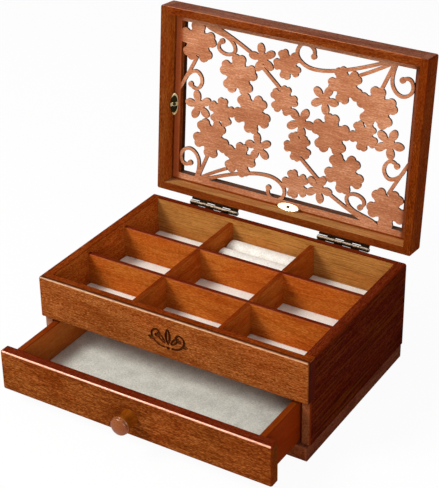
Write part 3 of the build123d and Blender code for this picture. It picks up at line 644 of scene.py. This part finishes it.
lid_left_wood = stained_wood(
    "satin_lacquered_walnut_lid_left_rail", GRAIN_LID_UP, LID_LEFT_TONES, EDGE_STAIN,
    [(RIGHT, INNER_TONES), (LEFT, RIM_TONES), (UP, LID_TOP_SHEEN_TONES)],
    lean=LID_TILT, seed=3.7, ring_depth=0.1, edge_lacquer=0.2,
    painted_shade_wall=(RIGHT, behind_fretwork, "#40200f"),
)
lid_right_wood = stained_wood(
    "satin_lacquered_walnut_lid_right_rail", GRAIN_LID_UP, LID_RIGHT_TONES, EDGE_STAIN,
    [(LEFT, INNER_TONES), (RIGHT, RIM_TONES), (UP, LID_TOP_SHEEN_TONES)],
    lean=LID_TILT, seed=4.1, ring_depth=0.1, edge_lacquer=0.2,
    painted_shade_wall=(LEFT, behind_fretwork, "#40200f"),
)
knob_wood = stained_wood(
    "gloss_lacquered_turned_knob", GRAIN_Y, ("#642804", "#824008", "#9a5a1a"), "#824008",
    seed=4.3, lacquer=0.7, edge_lacquer=0.7, pore_depth=0.15, edge_strength=0.0,
    ring_depth=0.15, fibre_depth=0.4,
)
fretwork_wood = sawn_fretwork("laser_cut_fretwork_board")
tray_cloth = flocked_cloth("grey_flocked_tray_lining", ("#e0dcd0", "#f8f6ec"))
# The drawer's lining is painted darker than the tray's lining, as shade inside the drawer.
drawer_cloth_painted_shade = flocked_cloth("grey_flocked_drawer_lining_painted_shade", ("#bab8ac", "#e0e0d4"))
roll_cloth = flocked_cloth("grey_velvet_ring_rolls", ("#dcd8cc", "#f8f6ee"))
hinge_brass = aged_brass(
    "antique_brass_hinges", "#4a3a2a", "#1c140e", 0.25, painted_glint=((0, -0.35, 0.937), "#e8e0d0"),
)
plate_brass = aged_brass("stamped_brass_retainer", "#eee6c8", "#dccca0", 0.22)
dark_field_brass = aged_brass(
    "stamped_brass_retainer_dark_field", "#e0d4a8", "#c0ac7c", 0.22,
    sunk=(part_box("retainer_left"), "#2c2a18"),
)
zinc_steel = screw_steel("zinc_plated_screw", "#b4b6b8", 0.35)
dark_steel = screw_steel("blackened_steel_plate_screw", "#3a3226", 0.4)

finishes = {
    front_wood: ["upper_front"],
    drawer_front_wood: ["drawer_front"],
    left_side_wood: ["left_side"],
    right_side_wood: ["right_side"],
    base_wood: ["base_board"],
    back_wood: ["back_panel"],
    cross_wood: ["cross_divider_front", "cross_divider_rear", "tray_floor"],
    divider_wood: ["divider_left", "divider_right"],
    drawer_left_wood: ["drawer_left_side"],
    drawer_right_wood: ["drawer_right_side"],
    drawer_inner_wood: ["drawer_back", "drawer_bottom"],
    lid_front_wood: ["lid_front_rail"],
    lid_hinge_wood: ["lid_hinge_rail"],
    lid_left_wood: ["lid_left_rail"],
    lid_right_wood: ["lid_right_rail"],
    knob_wood: ["drawer_knob"],
    fretwork_wood: ["fretwork_panel"],
    hinge_brass: [
        "left_hinge_case_leaf", "left_hinge_lid_leaf", "left_hinge_pin", "right_hinge_case_leaf",
        "right_hinge_lid_leaf", "right_hinge_pin", "hinge_case_screws", "hinge_lid_screws",
    ],
    plate_brass: ["retainer_hinge_side"],
    dark_field_brass: ["retainer_left"],
    dark_steel: ["retainer_screws"],
    zinc_steel: ["knob_screw"],
}
for material, names in finishes.items():
    for name in names:
        nodes[name].data.materials.clear()
        nodes[name].data.materials.append(material)


def new_piece(name, mesh_builder, material, body):
    """Turn a finished bmesh into a smooth piece that rides on a body."""
    mesh = bpy.data.meshes.new(name)
    mesh_builder.to_mesh(mesh)
    mesh_builder.free()
    for face in mesh.polygons:
        face.use_smooth = True
    mesh.materials.append(material)
    piece = bpy.data.objects.new(name, mesh)
    bpy.context.scene.collection.objects.link(piece)
    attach(piece, body)
    return piece


# Linings: thin cloth laid on each board, a little uneven. The tray's is one sheet that the
# dividers press down, so that it stands a little proud between them.
LINING_EDGE = 1.2 * MM
CLEAR = 0.15 * MM
# The sheet's edge lies this far above its board, and its waves are this high.
UNDER_CLOTH, WAVE = 0.05 * MM, 0.12 * MM
WAVES_PER_METRE = 40
# Height of the cloth where a divider presses on it, and how steeply it rises from there.
PRESSED_HEIGHT, PRESSED_SLOPE = 0.8 * MM, 0.5


def laid_cloth(board_box, step, lift, pressed_under=()):
    """A thin sheet over a whole board, turned down at its edge and under what presses on it."""
    low, high = board_box
    cloth = bmesh.new()
    size = (high.x - low.x - 2 * CLEAR, high.y - low.y - 2 * CLEAR)
    made = bmesh.ops.create_grid(
        cloth, x_segments=round(size[0] / step), y_segments=round(size[1] / step), size=0.5,
    )
    for vertex in made["verts"]:
        x = (low.x + high.x) / 2 + vertex.co.x * size[0]
        y = (low.y + high.y) / 2 + vertex.co.y * size[1]
        inset = min(x - low.x, high.x - x, y - low.y, high.y - y) - CLEAR
        rise = math.sqrt(max(0, 1 - (1 - min(1, inset / LINING_EDGE)) ** 2))
        # A cloth's height above the ground gives it waves of its own.
        at = Vector((x * WAVES_PER_METRE, y * WAVES_PER_METRE, low.z * 90))
        height = lift + noise.noise(at) * WAVE
        for press_low, press_high in pressed_under:
            outside = max(press_low.x - x, x - press_high.x, press_low.y - y, y - press_high.y)
            height = min(height, PRESSED_HEIGHT + max(0, outside) * PRESSED_SLOPE)
        vertex.co = (x, y, low.z + UNDER_CLOTH + height * rise)
    return cloth, size


presses = [
    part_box(name)
    for name in ("divider_left", "divider_right", "cross_divider_front", "cross_divider_rear")
]
tray_mesh, tray_cut = laid_cloth(
    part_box("tray_lining"), step=1.2 * MM, lift=1.2 * MM, pressed_under=presses,
)
tray_lining = new_piece("tray_lining_cloth", tray_mesh, tray_cloth, "case")
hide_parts("tray_lining")

drawer_mesh, drawer_cut = laid_cloth(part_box("drawer_lining"), step=1.8 * MM, lift=1.1 * MM)
drawer_lining = new_piece("drawer_lining_cloth", drawer_mesh, drawer_cloth_painted_shade, "drawer")
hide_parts("drawer_lining")

# Ring cushion: three stuffed rolls with a tight slot between each two, rounded at their ends. The
# slots are 4 mm deeper at the ends, where a roll has a third of its height left.
ROLLS = 3
SLOT_BOTTOM = 72 * MM
SLOT_DROP = 4 * MM
END_ROUND = 5 * MM
END_HEIGHT = 0.35
CREASE = 0.2 * MM
CREASES_ALONG, CREASES_ACROSS = 45, 30
# The cover ends this far above the bottom of the cushion's box.
FOOT = 0.3 * MM
# A roll's cross section: a fuller curve than a circle, steep beside the slots.
ROLL_SIDE, ROLL_TOP = 2.4, 1 / 2.2
roll_low, roll_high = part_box("ring_cushion")
roll_depth = (roll_high.y - roll_low.y) / ROLLS
cushion_mesh = bmesh.new()
grid = bmesh.ops.create_grid(cushion_mesh, x_segments=120, y_segments=96, size=0.5)
cushion_centre = (roll_low + roll_high) / 2
cushion_size = roll_high - roll_low
for vertex in grid["verts"]:
    x = cushion_centre.x + vertex.co.x * cushion_size.x
    y = cushion_centre.y + vertex.co.y * cushion_size.y
    # How far across its roll the point lies; the far edge counts as the start of a next roll.
    across = ((y - roll_low.y) / roll_depth) % 1 if y < roll_high.y - 1e-6 else 0
    crown = max(0, 1 - abs(2 * across - 1) ** ROLL_SIDE) ** ROLL_TOP
    inset = max(0, min(x - roll_low.x, roll_high.x - x))
    end = math.sqrt(max(0, 1 - (1 - min(1, inset / END_ROUND)) ** 2))
    crease = noise.noise(Vector((x * CREASES_ALONG, y * CREASES_ACROSS, 1.7))) * CREASE
    floor_z = SLOT_BOTTOM - (1 - end) * SLOT_DROP
    height = floor_z + (roll_high.z - floor_z) * crown * (END_HEIGHT + (1 - END_HEIGHT) * end)
    vertex.co = (x, y, height + crease * crown * end)
rim = [edge for edge in cushion_mesh.edges if edge.is_boundary]
skirt = bmesh.ops.extrude_edge_only(cushion_mesh, edges=rim)
for element in skirt["geom"]:
    if isinstance(element, bmesh.types.BMVert):
        element.co.z = roll_low.z + FOOT
bottom = [edge for edge in cushion_mesh.edges if edge.is_boundary]
bmesh.ops.holes_fill(cushion_mesh, edges=bottom)
bmesh.ops.recalc_face_normals(cushion_mesh, faces=cushion_mesh.faces)
cushion = new_piece("ring_cushion_rolls", cushion_mesh, roll_cloth, "case")
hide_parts("ring_cushion")

# The studio's floor and world look white to the camera and in reflections, but light the box
# dimly. A twentieth of the floor's own shade is left in view, so that it shows the box's shadow.
FLOOR_GLOW = 0.95
WORLD_LIGHT = 0.16
WHITE = (1, 1, 1, 1)


def seen_directly(tree):
    """1 for rays from the camera, off gloss or through glass, and 0 for rays that light."""
    ray = node(tree, "ShaderNodeLightPath")
    seen = node(
        tree, "ShaderNodeMath",
        {0: ray.outputs["Is Camera Ray"], 1: ray.outputs["Is Glossy Ray"]}, operation="MAXIMUM",
    )
    seen = node(
        tree, "ShaderNodeMath", {0: seen.outputs[0], 1: ray.outputs["Is Transmission Ray"]},
        operation="MAXIMUM",
    )
    return seen.outputs[0]


floor_mesh = bmesh.new()
bmesh.ops.create_grid(floor_mesh, x_segments=1, y_segments=1, size=6)
floor_data = bpy.data.meshes.new("studio_floor")
floor_mesh.to_mesh(floor_data)
floor_mesh.free()
floor = bpy.data.objects.new("studio_floor", floor_data)
bpy.context.scene.collection.objects.link(floor)
floor_paint, floor_tree, floor_shader = new_material("pale_matt_floor")
floor_shader.inputs["Base Color"].default_value = linear("#f2f2f2")
floor_shader.inputs["Roughness"].default_value = 0.9
floor_shader.inputs["Specular IOR Level"].default_value = 0.0
glow = node(floor_tree, "ShaderNodeEmission", {"Color": WHITE, "Strength": 1.0})
share = node(
    floor_tree, "ShaderNodeMath", {0: seen_directly(floor_tree), 1: FLOOR_GLOW},
    operation="MULTIPLY",
)
blend = node(
    floor_tree, "ShaderNodeMixShader",
    {0: share.outputs[0], 1: floor_shader.outputs[0], 2: glow.outputs[0]},
)
floor_tree.links.new(blend.outputs[0], floor_tree.get_output_node("ALL").inputs["Surface"])
floor_data.materials.append(floor_paint)

world = bpy.data.worlds.new("white_studio")
bpy.context.scene.world = world
world.use_nodes = True
sky = world.node_tree
sky.nodes.clear()
dim = node(sky, "ShaderNodeBackground", {"Color": WHITE, "Strength": WORLD_LIGHT})
white = node(sky, "ShaderNodeBackground", {"Color": WHITE, "Strength": 1.0})
blend = node(
    sky, "ShaderNodeMixShader", {0: seen_directly(sky), 1: dim.outputs[0], 2: white.outputs[0]},
)
node(sky, "ShaderNodeOutputWorld", {"Surface": blend.outputs[0]})

# What the lamps look at.
AIM = Vector((0, 0, 0.1))


def soft_lamp(name, place, size, watts):
    """A square soft box that looks at the object."""
    lamp = bpy.data.lights.new(name, "AREA")
    lamp.size = size
    lamp.energy = watts
    holder = bpy.data.objects.new(name, lamp)
    holder.location = place
    holder.rotation_euler = (AIM - Vector(place)).to_track_quat("-Z", "Y").to_euler()
    bpy.context.scene.collection.objects.link(holder)


soft_lamp("key_soft_box", (-0.95, -1.03, 1.39), 0.7, 34)
soft_lamp("fill_soft_box", (1.2, -1.35, 0.75), 1.0, 12.5)
soft_lamp("top_soft_box", (0.1, 0.3, 1.9), 0.9, 5)

# Camera at the photograph's place: solved for the box's own corners. The focal length and the
# point that it looks at are in pixels of the photograph.
FOCAL_PX = 1459.2
IMAGE_WIDTH, IMAGE_HEIGHT = 439, 488
CENTRE_X_PX, CENTRE_Y_PX = 227.36, 210.04
SENSOR_MM = 36
AZIMUTH, ELEVATION, ROLL = math.radians(31.5), math.radians(28.2055), math.radians(-0.6895)
CAMERA_PLACE = Vector((0.60499, -0.979404, 0.781282))
back = Vector((
    math.sin(AZIMUTH) * math.cos(ELEVATION),
    -math.cos(AZIMUTH) * math.cos(ELEVATION),
    math.sin(ELEVATION),
))
right = Vector((math.cos(AZIMUTH), math.sin(AZIMUTH), 0))
up = back.cross(right)
rolled_right = right * math.cos(ROLL) + up * math.sin(ROLL)
rolled_up = up * math.cos(ROLL) - right * math.sin(ROLL)
camera_turn = Matrix((rolled_right, rolled_up, back)).transposed()
camera_data = bpy.data.cameras.new("photo_camera")
camera_data.sensor_width = SENSOR_MM
camera_data.lens = FOCAL_PX * SENSOR_MM / IMAGE_HEIGHT
camera_data.shift_x = (IMAGE_WIDTH / 2 - CENTRE_X_PX) / IMAGE_HEIGHT
camera_data.shift_y = (CENTRE_Y_PX - IMAGE_HEIGHT / 2) / IMAGE_HEIGHT
camera_data.clip_end = 50
camera = bpy.data.objects.new("photo_camera", camera_data)
camera.matrix_world = Matrix.Translation(CAMERA_PLACE) @ camera_turn.to_4x4()
bpy.context.scene.collection.objects.link(camera)
bpy.context.scene.camera = camera
bpy.context.scene.view_settings.view_transform = "Standard"
